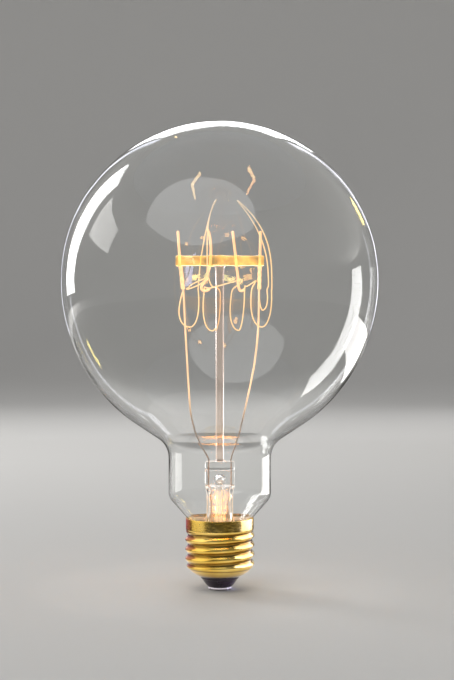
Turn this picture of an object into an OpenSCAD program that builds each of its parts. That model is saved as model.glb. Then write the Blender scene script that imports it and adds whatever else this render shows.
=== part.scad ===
// Filament bulb with a large clear globe, a glass stem with a cross-bar,
// four support wires, one looped filament and a threaded brass cap.
// Millimetres. The origin is the centre of the contact's face, +Z runs up the axis.

/* [Globe and neck] */
// Radius of the globe at its widest
globe_r = 60; // [48:0.5:70]
// Half height that the globe's lower half would have as a full ellipse
globe_low = 63.8; // [58:0.2:70]
// Radius at which the globe runs into the straight shoulder
shoulder_r = 32; // [26:0.5:40]
// Radius of the hollow between shoulder and neck
neck_fillet = 9; // [5:0.5:14]
// Outer radius of the straight neck
neck_r = 19.4; // [16:0.2:23]
// Length of the straight neck
neck_len = 13; // [8:0.5:24]
// Radius of the corner at the neck's foot
foot_round = 5; // [2:0.5:8]
// Slope of the neck's foot above level, in degrees
foot_slope = 48.7; // [40:0.5:60]
// Outer radius of the glass end inside the cap
seal_r = 10.8; // [9.6:0.1:11]
// Height of the glass end above the contact's face
seal_z = 20; // [18.5:0.1:21]
// Thickness of the blown glass
glass_wall = 0.9; // [0.6:0.1:1.4]

/* [Cap] */
// Height of the cap's rim above the contact's face
rim_z = 27.3; // [26.4:0.1:30]
// Outer radius of the plain collar
collar_r = 12.9; // [12.8:0.05:13]
// Height of the plain collar
collar_len = 4.5; // [3.5:0.1:5.2]
// Radius over the thread's crests
crest_r = 13.1; // [13:0.05:13.2]
// Radius at the thread's roots
root_r = 12.12; // [12:0.02:12.3]
// Rise of the thread in one turn
pitch = 3.63; // [3.5:0.01:3.75]
// Height of the lowest full thread
thread_low = 9.9; // [9.6:0.1:12]
// Height at which the shell starts to draw in
draw_z = 8.6; // [8.2:0.1:9.2]
// Height of the shell's lower lip
lip_z = 5.4; // [4.8:0.1:6.2]
// Radius of the shell's lower lip
lip_r = 8.4; // [8:0.1:9.4]
// Thickness of the brass
shell_wall = 0.35; // [0.25:0.05:0.4]
// Gap between the rim and the glass
rim_gap = 0.1; // [0.05:0.05:0.3]
// Length of the basing cement
cement_len = 3; // [2:0.1:3.4]

/* [Insulator and contact] */
// Radius of the insulator where it leaves the shell
insulator_r = 7.4; // [6.6:0.1:8]
// Radius of the insulator's lower end
insulator_tip_r = 4.7; // [4.2:0.1:5.6]
// Height of the insulator's lower end
insulator_tip_z = 1.05; // [0.8:0.05:1.6]
// Depth of the insulator inside the shell
insulator_in = 2.6; // [1.5:0.1:3.2]
// Gap between insulator and shell
insulator_gap = 0.05; // [0.04:0.01:0.12]
// Radius of the contact plate
contact_r = 4.4; // [3.6:0.1:4.6]
// Thickness of the contact plate
contact_t = 0.8; // [0.5:0.05:0.95]
// Radius of the solder on the contact plate
solder_r = 3.4; // [2.4:0.1:3.5]
// Radius of the solder's flat face
solder_flat_r = 2; // [1:0.1:2.3]

/* [Stem] */
// Outer radius of the flare tube
flare_r = 5; // [4.7:0.1:5.2]
// Thickness of the flare tube
flare_wall = 0.9; // [0.7:0.05:1]
// Height of the trumpet at the flare's foot
trumpet_h = 10; // [6:0.5:12]
// Height of the press's top above the glass end
stem_h = 28.9; // [27:0.1:34]
// Width of the press
press_w = 11.2; // [10.8:0.1:13]
// Thickness of the press
press_t = 4.2; // [3.6:0.1:5]
// Height of the flat press
press_h = 8.6; // [8:0.1:10]
// Height over which the round tube turns into the flat press
press_blend = 4.4; // [3:0.1:5]
// Radius of the press's upper corners
press_round = 1; // [0.4:0.1:1.2]
// Radius of the exhaust hole in the press
exhaust_hole_r = 1.4; // [1.1:0.1:1.6]
// Outer radius of the exhaust tube
exhaust_r = 1.9; // [1.6:0.1:2]
// Thickness of the exhaust tube
exhaust_wall = 0.85; // [0.6:0.05:0.9]
// Height of the exhaust tube's sealed tip
exhaust_tip_z = 12; // [11:0.5:16]
// Radius of the glass rod
rod_r = 1.5; // [1.1:0.1:2]
// Height of the cross-bar's axis above the press
rod_len = 75.8; // [64:0.5:84]
// Radius of the cross-bar
bar_r = 1.9; // [1.5:0.1:2.4]
// Length of the cross-bar
bar_len = 33.4; // [32.6:0.2:38]

/* [Wires] */
// Radius of the support wires
post_r = 0.5; // [0.35:0.05:0.55]
// Radius of the inner leads
lead_r = 0.45; // [0.3:0.05:0.5]
// Radius of the seal wires and outer leads
seal_wire_r = 0.25; // [0.15:0.05:0.3]
// Distance of the seal wires from the axis
seal_wire_x = 4.2; // [3.9:0.05:4.3]
// Height of the outer support wires above the cross-bar
outer_rise = 11.3; // [6:0.1:14]
// Height of the inner left support wire above the cross-bar
hairpin_rise = 12.2; // [6:0.1:14]
// Height of the inner right support wire above the cross-bar
inner_rise = 11.3; // [6:0.1:14]
// Drop of the hooks and clamps below the cross-bar
hook_drop = 10.7; // [9.5:0.1:13]
// Length of the clamps
clamp_len = 8.4; // [5:0.1:8.4]
// Width of the clamps
clamp_w = 1.5; // [1.3:0.1:1.7]

/* [Filament] */
// Radius of the filament
filament_r = 0.25; // [0.1:0.05:0.3]
// Drop of the outer loops below the hooks
outer_loop_drop = 14.3; // [6:0.1:18]
// Drop of the inner loops below the hooks
inner_loop_drop = 15.8; // [6:0.1:18]
// Height of the two tall loops above the cross-bar
tall_loop_rise = 22.6; // [16:0.2:30]
// Half the depth of the two tall loops
tall_loop_depth = 3.5; // [2.8:0.1:8]

/* [Hidden] */
$fn = 64;

// Heights that follow from the driving sizes
collar_z = rim_z - collar_len;
press_z = seal_z + stem_h;
press_low = press_z - press_h;
blend_low = press_low - press_blend;
exhaust_hole_z = press_low + 1.6;
exhaust_top = press_low - 0.2;
cavity_top = press_low - 0.8;
bar_z = press_z + rod_len;
hook_z = bar_z - hook_drop;

// The globe's lower half as an ellipse, its tangent cone and the hollow above the neck
shoulder_sin = sqrt(1 - pow(shoulder_r / globe_r, 2));
shoulder_rise = shoulder_r * globe_low / (globe_r * globe_r * shoulder_sin);
hollow_turn = 90 - atan(shoulder_rise);
rim_glass_r = collar_r - shell_wall - rim_gap;
foot_turn = 90 - foot_slope;
foot_r = neck_r - foot_round * (1 - cos(foot_turn));
foot_z = rim_z + (foot_r - rim_glass_r) * tan(foot_slope);
neck_z = foot_z + foot_round * sin(foot_turn);
neck_top = neck_z + neck_len;
globe_z = neck_top + neck_fillet * tan(hollow_turn / 2)
    + (shoulder_r - neck_r) * shoulder_rise + globe_low * shoulder_sin;

// Outline of the glass from its end in the cap to the top, drawn in by a wall
function glass_outline(w) = let(
        a = globe_r - w,
        b = globe_low - w,
        hollow = neck_fillet + w,
        corner = foot_round - w,
        low = acos(shoulder_r / globe_r),
        foot_tan = tan(foot_slope),
        slope_in = w / cos(foot_slope))
    concat(
        [[seal_r - w, seal_z],
         [seal_r - w, foot_z + slope_in - (foot_r - seal_r + w) * foot_tan]],
        [for (i = [0:6]) let(u = foot_turn * (1 - i / 6))
            [neck_r - foot_round + corner * cos(u), neck_z - corner * sin(u)]],
        [for (i = [0:8]) let(u = hollow_turn * i / 8)
            [neck_r + neck_fillet - hollow * cos(u), neck_top + hollow * sin(u)]],
        [for (i = [0:16]) let(u = low * (1 - i / 16))
            [a * cos(u), globe_z - b * sin(u)]],
        [for (i = [1:32]) let(u = 90 * i / 32)
            [a * cos(u), globe_z + a * sin(u)]]);

function reversed(list) = [for (i = [len(list) - 1:-1:0]) list[i]];
function unit(v) = v / norm(v);
function mix(a, b, s) = a + (b - a) * s;

// A smooth curve through points, with each span cut in equal steps
function smooth(p, steps) = let(n = len(p)) concat(
    [for (i = [0:n - 2], k = [0:steps - 1])
        let(t = k / steps,
            a = p[max(i - 1, 0)],
            b = p[i],
            c = p[i + 1],
            d = p[min(i + 2, n - 1)])
        0.5 * (2 * b + (c - a) * t + (2 * a - 5 * b + 4 * c - d) * t * t
            + (3 * b - a - 3 * c + d) * t * t * t)],
    [p[n - 1]]);

// Direction of a path at each of its points
function headings(p) = let(n = len(p))
    [for (i = [0:n - 1]) unit(p[min(i + 1, n - 1)] - p[max(i - 1, 0)])];

function swung(v, t) = unit(v - (v * t) * t);

// A closed round tube along a path, its rings turned as little as possible
module tube(path, r, sides) {
    n = len(path);
    t = headings(path);
    start = abs(t[0].y) < 0.9 ? [0, 1, 0] : [1, 0, 0];
    normals = [for (i = 0, v = swung(start, t[0]); i < n;
                    i = i + 1, v = i < n ? swung(v, t[i]) : v) v];
    rings = [for (i = [0:n - 1], k = [0:sides - 1])
        let(u = 360 * k / sides, side = cross(t[i], normals[i]))
        path[i] + r * (cos(u) * normals[i] + sin(u) * side)];
    last = (n - 1) * sides;
    walls = [for (i = [0:n - 2], k = [0:sides - 1], h = [0, 1])
        let(a = i * sides + k, b = i * sides + (k + 1) % sides)
        h == 0 ? [a, a + sides, b] : [b, a + sides, b + sides]];
    foot = [for (k = [1:sides - 2]) [0, k, k + 1]];
    head = [for (k = [1:sides - 2]) [last, last + k + 1, last + k]];
    polyhedron(rings, concat(walls, foot, head), convexity = 10);
}

// Places along the cross-bar of the four support wires, and their lower ends
post_x = [-15.2, -3.55, 6.15, 15.15];
post_foot = [for (i = [0:3]) post_x[i] + [1.3, -2.2, 0.9, -0.25][i]];
clamp_top = hook_z + clamp_len;
wire_joint_z = hook_z + clamp_len / 2;

function clamp_x(k, z) = mix(post_foot[k], post_x[k] + [0.4, 0, 0, -0.05][k], (z - hook_z) / clamp_len);
function clamp_point(k, z) = [clamp_x(k, z), 0, z];

outer_left_path = [
    [post_x[0] - 0.65, 0, bar_z + outer_rise],
    [post_x[0] - 0.05, 0, bar_z + bar_r],
    [post_x[0], 0, bar_z - bar_r],
    clamp_point(0, clamp_top),
    clamp_point(0, wire_joint_z)];

outer_right_path = [
    [post_x[3] + 0.3, 0, bar_z + outer_rise],
    [post_x[3] + 0.05, 0, bar_z + bar_r],
    [post_x[3], 0, bar_z - bar_r],
    clamp_point(3, clamp_top),
    clamp_point(3, wire_joint_z)];

inner_left_path = smooth([
    [post_x[1] - 1.2, 0, bar_z + hairpin_rise],
    [post_x[1] - 0.3, 0, bar_z + 9.4],
    [post_x[1] + 0.15, 0, bar_z + 5.6],
    [post_x[1] + 0.15, 0, bar_z + bar_r],
    [post_x[1] - 0.2, 0, bar_z - bar_r],
    [post_x[1] - 0.95, 0, hook_z + 6.2],
    [post_x[1] - 1.4, 0, hook_z + 4],
    [post_foot[1] - 0.3, 0, hook_z + 2.6],
    [post_foot[1] - 1.2, 0, hook_z + 0.9],
    [post_foot[1] - 0.9, 0, hook_z - 0.3],
    [post_foot[1] + 0.1, 0, hook_z - 0.65],
    [post_foot[1] + 1.2, 0, hook_z - 0.4],
    [post_foot[1] + 2.1, 0, hook_z + 0.25]], 2);

inner_right_path = smooth([
    [post_x[2] - 1.3, 0, bar_z + inner_rise],
    [post_x[2] - 0.2, 0, bar_z + bar_r],
    [post_x[2] + 0.15, 0, bar_z - bar_r],
    [post_x[2] + 0.55, 0, hook_z + 6],
    [post_foot[2] - 0.1, 0, hook_z + 2.4],
    [post_foot[2] + 0.2, 0, hook_z + 0.2],
    [post_foot[2] + 0.8, 0, hook_z - 0.65],
    [post_foot[2] + 1.7, 0, hook_z - 0.5],
    [post_foot[2] + 2.4, 0, hook_z]], 2);

// Inner leads run from the clamps down to the press
lead_foot_z = press_z - 1;
left_lead_path = concat(
    [clamp_point(0, wire_joint_z), clamp_point(0, hook_z)],
    smooth([
        [post_foot[0] + 0.15, 0, hook_z - 1],
        [post_foot[0] + 0.9, 0, hook_z - 16],
        [-12, 0, press_z + 31],
        [-11, 0, press_z + 18],
        [-9, 0, press_z + 10.5],
        [-6, 0, press_z + 4.6],
        [-seal_wire_x - 0.1, 0, press_z + 1]], 3),
    [[-seal_wire_x, 0, press_z], [-seal_wire_x, 0, lead_foot_z]]);
right_lead_path = concat(
    [clamp_point(3, wire_joint_z), clamp_point(3, hook_z)],
    smooth([
        [post_foot[3] - 0.05, 0, hook_z - 1],
        [post_foot[3] - 0.3, 0, hook_z - 14],
        [post_foot[3] - 1.6, 0, hook_z - 27],
        [12, 0, press_z + 31],
        [9.3, 0, press_z + 18.5],
        [7.4, 0, press_z + 11],
        [5.2, 0, press_z + 4.6],
        [seal_wire_x + 0.1, 0, press_z + 1]], 3),
    [[seal_wire_x, 0, press_z], [seal_wire_x, 0, lead_foot_z]]);

// Outer leads run from the press down to the rim and to the contact
solder_hole_z = rim_z - 0.9;
contact_low = insulator_tip_z - contact_t;
shell_lead_path = concat(
    smooth([
        [-seal_wire_x, 0, cavity_top],
        [-3.6, 0, blend_low + 0.6],
        [-3.1, 0, blend_low - 5],
        [-3.1, 0, seal_z + 4],
        [-3.1, 0.3, seal_z - 0.8],
        [-3, 4, seal_z - 3.2],
        [-1, 9.4, seal_z - 3],
        [0, seal_r + 0.4, seal_z - 1.4],
        [0, seal_r + 0.4, collar_z - 0.6],
        [0, seal_r + 0.8, collar_z + 1.6]], 2),
    [[0, rim_glass_r - 0.35, solder_hole_z - 0.4], [0, collar_r - shell_wall, solder_hole_z],
     [0, collar_r, solder_hole_z]]);
contact_lead_path = smooth([
    [seal_wire_x, 0, cavity_top],
    [3.6, 0, blend_low + 0.6],
    [3.1, 0, blend_low - 5],
    [3.1, 0, seal_z + 4],
    [3.1, 0, exhaust_tip_z + 1],
    [1.8, 0, exhaust_tip_z - 1.6],
    [0, 0, lip_z + insulator_in],
    [0, 0, lip_z],
    [0, 0, contact_low / 2]], 2);

// The filament hangs in loops from a to b: half an ellipse, its arms bowed out by two widths
function hang(a, b, drop, bow_a, bow_b, steps) = [for (i = [0:steps])
    let(s = i / steps,
        across = (1 - cos(180 * s)) / 2,
        bow = (s < 0.5 ? bow_a : bow_b) * sin(360 * s))
    [mix(a.x, b.x, across) - bow, mix(a.y, b.y, across), mix(a.z, b.z, s) - drop * sin(180 * s)]];

// A tall loop from a over its blunt top to b, each side leaning in as a power of its height
function tall_loop(a, b, top, lean_a, lean_b, steps) = [for (i = [0:steps])
    let(u = 180 * i / steps,
        across = (1 - cos(u)) / 2,
        mid = (a + b) / 2,
        rise = 1 - pow(1 - sin(u), 1.6),
        lean = pow(rise, i < steps / 2 ? lean_a : lean_b))
    [mix(a.x, b.x, across) + (top.x - mid.x) * lean,
     mix(a.y, b.y, across) + (top.y - mid.y) * lean,
     mix(a.z, b.z, i / steps) + (top.z - mid.z) * rise]];

clamp_back = post_r + filament_r + 0.1;
function clamp_axis(k) = unit(clamp_point(k, clamp_top) - clamp_point(k, hook_z));
filament_start = clamp_point(0, hook_z) + [0, clamp_back, 0];
filament_end = clamp_point(3, hook_z) + [0, clamp_back, 0];
tall_top_z = bar_z + tall_loop_rise;

filament_route = concat(
    [filament_start, filament_start - 2 * filament_r * clamp_axis(0)],
    // outer left loop, then up and over
    hang([post_foot[0] - 0.3, 1, hook_z - 1.4], [post_foot[0] + 5.7, tall_loop_depth, hook_z - 0.6],
        outer_loop_drop - 0.9, 1.9, 0.6, 12),
    tall_loop([post_foot[0] + 5.7, tall_loop_depth, hook_z + 1],
        [post_x[1] - 1.2, -tall_loop_depth, hook_z + 6.5],
        [post_x[1] + 1.9, 0, tall_top_z], 1.5, 4.5, 16),
    // out to the left post and back, then over the inner left post
    [[post_x[1] - 2, -2.9, hook_z + 4.2],
     [post_x[1] - 4.6, -2.4, hook_z + 3],
     [post_x[1] - 7.4, -2.2, hook_z + 1.5],
     [post_foot[0] + 2.2, -2.3, hook_z + 0.6],
     [post_foot[0] + 1.4, -1.9, hook_z + 0.2],
     [post_foot[0] + 1.5, -1.1, hook_z],
     [post_foot[0] + 2.4, -0.7, hook_z + 0.1],
     [post_foot[1] - 2.2, -0.95, hook_z + 1.6],
     [post_foot[1] - 0.2, -1.15, hook_z + 3.1],
     [post_foot[1] + 0.7, -1.2, hook_z + 4.4],
     [post_foot[1] + 1.5, -1.1, hook_z + 4.2],
     [post_foot[1] + 2, -0.5, hook_z + 2.6],
     [post_foot[1] + 2.9, 1, hook_z + 1],
     [post_foot[1] + 4.6, 2.3, hook_z + 0.3]],
    // inner left loop, behind the rod and back to the hook
    hang([post_foot[1] + 5.9, 2.4, hook_z - 1.2], [post_foot[1] - 0.2, 1, hook_z - 0.9],
        inner_loop_drop - 1, -0.3, -0.9, 12),
    [[post_foot[1] - 0.15, 0.9, hook_z + 0.3],
     [post_foot[1] + 0.15, 0, hook_z + 0.75],
     [post_foot[1] + 0.7, -0.9, hook_z + 0.45],
     [post_foot[1] + 1.8, -1.2, hook_z + 0.4],
     [post_foot[1] + 3.4, -2, hook_z + 0.7],
     [post_foot[1] + 6.6, -2.1, hook_z + 1.6],
     [post_foot[2] - 3, -1.3, hook_z + 2.5],
     [post_foot[2] - 0.6, -1, hook_z + 3.2],
     [post_foot[2] + 0.8, -0.9, hook_z + 3.6],
     [post_foot[2] + 1.6, 0, hook_z + 3.3],
     [post_foot[2] + 0.9, 0.95, hook_z + 2.3],
     [post_foot[2] - 0.5, 1.1, hook_z + 1.3]],
    // inner right loop, then up to the outer right post
    hang([post_foot[2] - 2.3, 1, hook_z - 0.4], [post_foot[2] + 2.3, 1, hook_z - 0.9],
        inner_loop_drop - 0.8, 1.3, -0.1, 12),
    [[post_foot[2] + 2.4, 0.9, hook_z + 0.5],
     [post_foot[2] + 2.6, 0.1, hook_z + 1.1],
     [post_foot[2] + 3.3, -0.7, hook_z + 1.1],
     [post_foot[3] - 2.7, -1, hook_z + 2.3],
     [post_foot[3] - 1.6, -0.8, hook_z + 3],
     [post_foot[3] - 1.2, 0, hook_z + 3.1],
     [post_foot[3] - 1.7, 0.6, hook_z + 2.3]],
    // outer right loop, then up, over and back to the right clamp
    hang([post_foot[3] - 2.8, 0.5, hook_z], [post_foot[3] + 4.6, -tall_loop_depth, hook_z - 0.6],
        outer_loop_drop - 0.3, 0.9, 0.3, 12),
    tall_loop([post_foot[3] + 4.7, -tall_loop_depth, hook_z + 1],
        [post_foot[3] + 3.6, tall_loop_depth, hook_z + 2],
        [6.8, 0, tall_top_z], 3, 2.4, 18),
    hang([post_foot[3] + 3.1, tall_loop_depth - 0.3, hook_z - 0.2], [post_foot[3] + 0.05, 1, hook_z - 1.4],
        outer_loop_drop - 7.1, -0.4, 0, 8),
    [filament_end - 2 * filament_r * clamp_axis(3), filament_end]);
filament_path = smooth(filament_route, 2);

// Least gap between stretches of the filament that are further apart along it than a bend
bend_points = 12;
filament_gap = min([for (i = [0:len(filament_path) - bend_points - 1],
                         j = [i + bend_points:len(filament_path) - 1])
    norm(filament_path[i] - filament_path[j])]) - 2 * filament_r;
echo(least_filament_gap = filament_gap);

// A radius of the collar's and the threaded shell's surface at a height
thread_mid = (crest_r + root_r) / 2;
thread_amp = (crest_r - root_r) / 2;
thread_fade = 1.2;
collar_in = collar_r - shell_wall;
function ease(t) = let(c = min(max(t, 0), 1)) c * c * (3 - 2 * c);
function shell_base(z) = z >= draw_z ? thread_mid
    : lip_r + (thread_mid - lip_r) * pow(max(z - lip_z, 0) / (draw_z - lip_z), 0.75);
function thread_wave(z, angle) = thread_amp * cos(angle - 360 * (z - thread_low) / pitch)
    * ease((collar_z - z) / thread_fade) * ease((z - draw_z) / (thread_low - draw_z));

module glass_envelope() {
    color("lightcyan", 0.35)
    rotate_extrude($fn = 96)
    polygon(concat(glass_outline(0), reversed(glass_outline(glass_wall))));
}

// The flare's curve at one face: a quarter ellipse from the tube out to the rim
function trumpet(r, foot) = [for (i = [0:10]) let(u = 9 * i)
    [r + (seal_r - glass_wall - r) * (1 - cos(u)), foot + (seal_z + trumpet_h - foot) * (1 - sin(u))]];

// Round below, flat above: a cone cut by a wedge in each direction
module round_to_flat(r, w, t, low, high) {
    h = high - low;
    intersection() {
        translate([0, 0, low]) cylinder(r1 = r, r2 = norm([w, t]) / 2, h = h);
        rotate([90, 0, 0]) linear_extrude(4 * r, center = true)
            polygon([[-r, low], [r, low], [w / 2, high], [-w / 2, high]]);
        rotate([90, 0, 90]) linear_extrude(4 * r, center = true)
            polygon([[-r, low], [r, low], [t / 2, high], [-t / 2, high]]);
    }
}

module press_plate() {
    x = press_w / 2 - press_round;
    z = press_z - press_round;
    rotate([90, 0, 0]) linear_extrude(press_t, center = true)
        polygon(concat([[-press_w / 2, press_low], [press_w / 2, press_low]],
            [for (i = [0:6]) [x + press_round * cos(15 * i), z + press_round * sin(15 * i)]],
            [for (i = [6:-1:0]) [-x - press_round * cos(15 * i), z + press_round * sin(15 * i)]]));
}

module stem_flare() {
    inner_r = flare_r - flare_wall;
    color("lightcyan", 0.5)
    difference() {
        union() {
            rotate_extrude()
                polygon(concat([[inner_r, blend_low], [flare_r, blend_low]],
                    trumpet(flare_r, seal_z + flare_wall), reversed(trumpet(inner_r, seal_z))));
            difference() {
                round_to_flat(flare_r, press_w, press_t, blend_low, press_low);
                round_to_flat(inner_r, press_w - 2 * flare_wall, press_t - 2.4, blend_low, cavity_top);
            }
            press_plate();
        }
        translate([0, 0, blend_low]) cylinder(r = exhaust_r, h = exhaust_top - blend_low);
        translate([0, 0, blend_low]) cylinder(r = exhaust_r - exhaust_wall, h = exhaust_hole_z - blend_low);
        translate([0, 0, exhaust_hole_z]) rotate([90, 0, 0])
            cylinder(r = exhaust_hole_r, h = 2 * press_t, center = true);
        left_seal_wire();
        right_seal_wire();
        left_lead();
        right_lead();
    }
}

module exhaust_tube() {
    bore = exhaust_r - exhaust_wall;
    tip = 3;
    color("lightcyan", 0.5)
    rotate_extrude()
    polygon([[0, exhaust_tip_z], [0.5, exhaust_tip_z + 0.15], [exhaust_r * 0.55, exhaust_tip_z + 1],
        [exhaust_r, exhaust_tip_z + tip], [exhaust_r, exhaust_top], [bore, exhaust_top],
        [bore, exhaust_tip_z + tip], [0, exhaust_tip_z + tip - bore]]);
}

module glass_rod() {
    color("lightcyan", 0.6)
    difference() {
        translate([0, 0, press_z]) cylinder(r = rod_r, h = bar_z - press_z);
        translate([0, 0, bar_z]) rotate([0, 90, 0]) cylinder(r = bar_r, h = 4 * rod_r, center = true);
    }
}

module cross_bar() {
    edge = 0.4;
    color("lightcyan", 0.7)
    difference() {
        translate([-bar_len / 2, 0, bar_z]) rotate([0, 90, 0]) rotate_extrude()
            polygon(concat([[0, 0]],
                [for (i = [0:4]) [bar_r - edge + edge * sin(22.5 * i), edge - edge * cos(22.5 * i)]],
                [for (i = [0:4]) [bar_r - edge + edge * cos(22.5 * i), bar_len - edge + edge * sin(22.5 * i)]],
                [[0, bar_len]]));
        outer_left_post();
        inner_left_post();
        inner_right_post();
        outer_right_post();
    }
}

module outer_left_post() { color("darkgoldenrod") tube(outer_left_path, post_r, 8); }
module inner_left_post() { color("darkgoldenrod") tube(inner_left_path, post_r, 8); }
module inner_right_post() { color("darkgoldenrod") tube(inner_right_path, post_r, 8); }
module outer_right_post() { color("darkgoldenrod") tube(outer_right_path, post_r, 8); }

// A flat crimp round a support wire, a lead and one end of the filament
module clamp(k) {
    axis = clamp_axis(k);
    edge = 0.3;
    front = -post_r - edge;
    back = clamp_back + filament_r + edge;
    corners = [[clamp_w / 2 - edge, back - edge, 0], [-clamp_w / 2 + edge, back - edge, 90],
        [-clamp_w / 2 + edge, front + edge, 180], [clamp_w / 2 - edge, front + edge, 270]];
    translate(clamp_point(k, hook_z)) rotate([0, atan(axis.x / axis.z), 0])
        linear_extrude(clamp_len)
        polygon([for (c = corners, i = [0:3])
            [c.x + edge * cos(c.z + 30 * i), c.y + edge * sin(c.z + 30 * i)]]);
}

module left_clamp() {
    color("goldenrod")
    difference() {
        clamp(0);
        outer_left_post();
        left_lead();
    }
}

module right_clamp() {
    color("goldenrod")
    difference() {
        clamp(3);
        outer_right_post();
        right_lead();
    }
}

module left_lead() { color("peru") tube(left_lead_path, lead_r, 8); }
module right_lead() { color("peru") tube(right_lead_path, lead_r, 8); }

module seal_wire(side) {
    translate([side * seal_wire_x, 0, cavity_top]) cylinder(r = seal_wire_r, h = lead_foot_z - cavity_top);
}

module left_seal_wire() { color("brown") seal_wire(-1); }
module right_seal_wire() { color("brown") seal_wire(1); }
module shell_lead_wire() { color("peru") tube(shell_lead_path, seal_wire_r, 8); }
module contact_lead_wire() { color("peru") tube(contact_lead_path, seal_wire_r, 8); }
module filament() { color("orange") tube(filament_path, filament_r, 6); }

// The threaded part of the shell: rows from inside the collar down to the lip, out and back
module threaded_shell() {
    sides = 40;
    rows = 44;
    lap = 0.8;
    cover = 0.08;
    heights = [for (i = [0:rows]) mix(collar_z + lap, lip_z, i / rows)];
    function skin(z, angle, outer) = z > collar_z
        ? (outer ? collar_r - cover : collar_in + cover)
        : shell_base(z) + thread_wave(z, angle) - (outer ? 0 : shell_wall);
    walls = concat([for (z = heights) [z, true]], [for (z = reversed(heights)) [z, false]]);
    n = len(walls);
    points = [for (w = walls, k = [0:sides - 1])
        let(u = 360 * k / sides, r = skin(w[0], u, w[1]))
        [r * cos(u), r * sin(u), w[0]]];
    faces = [for (i = [0:n - 1], k = [0:sides - 1], h = [0, 1])
        let(a = i * sides + k, b = i * sides + (k + 1) % sides,
            c = ((i + 1) % n) * sides + k, d = ((i + 1) % n) * sides + (k + 1) % sides)
        h == 0 ? [a, b, c] : [b, d, c]];
    polyhedron(points, faces, convexity = 10);
}

module screw_shell() {
    edge = 0.12;
    color("gold")
    difference() {
        union() {
            rotate_extrude()
                polygon([[collar_in, collar_z], [collar_r, collar_z], [collar_r, rim_z - edge],
                    [collar_r - edge, rim_z], [collar_in, rim_z]]);
            threaded_shell();
        }
        translate([0, collar_in - 1, solder_hole_z]) rotate([-90, 0, 0]) cylinder(r = solder_plug_r, h = 3);
    }
}

// Solder that holds the outer lead in a hole at the back of the collar
solder_plug_r = 0.55;
module shell_solder() {
    color("silver")
    difference() {
        translate([0, collar_in - 0.25, solder_hole_z]) rotate([-90, 0, 0])
            cylinder(r = solder_plug_r, h = shell_wall + 0.4);
        shell_lead_wire();
    }
}

module basing_cement() {
    low = collar_z + 0.3;
    high = low + cement_len;
    cone_z = rim_z - (rim_glass_r - seal_r) * tan(foot_slope);
    color("tan")
    difference() {
        rotate_extrude()
            polygon([[seal_r, low], [collar_in, low], [collar_in, high],
                [rim_glass_r - (rim_z - high) / tan(foot_slope), high], [seal_r, cone_z]]);
        shell_lead_wire();
    }
}

module insulator() {
    top = lip_z + insulator_in;
    neck = 0.5;
    color("indigo")
    difference() {
        rotate_extrude()
            polygon(concat([[0, insulator_tip_z], [insulator_tip_r, insulator_tip_z], [insulator_r, lip_z - neck]],
                [for (i = [0:6]) let(z = mix(lip_z + 0.1, top, i / 6))
                    [shell_base(z) - shell_wall - insulator_gap, z]],
                [[0, top]]));
        contact_lead_wire();
    }
}

module contact_plate() {
    edge = 0.25;
    color("khaki")
    rotate_extrude()
    polygon(concat([[solder_hole_r, contact_low], [contact_r - edge, contact_low]],
        [for (i = [1:4]) [contact_r - edge + edge * sin(22.5 * i), contact_low + edge - edge * cos(22.5 * i)]],
        [[contact_r, insulator_tip_z], [solder_hole_r, insulator_tip_z]]));
}

// Solder on the contact, filling the hole in its plate round the lead
solder_hole_r = 0.8;
module contact_solder() {
    color("silver")
    difference() {
        rotate_extrude()
            polygon([[0, 0], [solder_flat_r, 0], [solder_r, contact_low], [solder_hole_r, contact_low],
                [solder_hole_r, insulator_tip_z], [0, insulator_tip_z]]);
        contact_lead_wire();
    }
}

glass_envelope();
stem_flare();
exhaust_tube();
glass_rod();
cross_bar();
outer_left_post();
inner_left_post();
inner_right_post();
outer_right_post();
left_clamp();
right_clamp();
left_lead();
right_lead();
left_seal_wire();
right_seal_wire();
shell_lead_wire();
contact_lead_wire();
filament();
screw_shell();
shell_solder();
basing_cement();
insulator();
contact_plate();
contact_solder();
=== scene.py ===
# A clear globe bulb with a looped filament. Metres, Z up the bulb's axis, the contact's face on the floor.
import math

import bpy
import numpy as np
from mathutils import Matrix, Vector


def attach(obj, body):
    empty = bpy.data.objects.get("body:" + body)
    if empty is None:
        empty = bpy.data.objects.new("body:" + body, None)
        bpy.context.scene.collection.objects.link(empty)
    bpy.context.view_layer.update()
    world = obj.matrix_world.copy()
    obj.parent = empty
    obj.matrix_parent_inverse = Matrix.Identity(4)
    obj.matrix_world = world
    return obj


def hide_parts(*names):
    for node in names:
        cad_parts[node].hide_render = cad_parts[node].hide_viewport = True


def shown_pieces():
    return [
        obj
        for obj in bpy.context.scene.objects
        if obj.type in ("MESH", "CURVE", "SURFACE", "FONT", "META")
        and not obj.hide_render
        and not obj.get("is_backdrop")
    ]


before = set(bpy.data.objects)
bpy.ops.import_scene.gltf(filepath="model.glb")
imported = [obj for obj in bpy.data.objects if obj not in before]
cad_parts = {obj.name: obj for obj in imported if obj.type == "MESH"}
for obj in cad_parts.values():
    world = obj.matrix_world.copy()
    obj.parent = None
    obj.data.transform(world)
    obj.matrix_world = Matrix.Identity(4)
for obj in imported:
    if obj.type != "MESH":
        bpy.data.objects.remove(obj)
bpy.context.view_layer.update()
mm = 0.001
turn = 2 * np.pi


# Shapes: every surface is a grid of rows, each row closed round on itself

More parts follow.
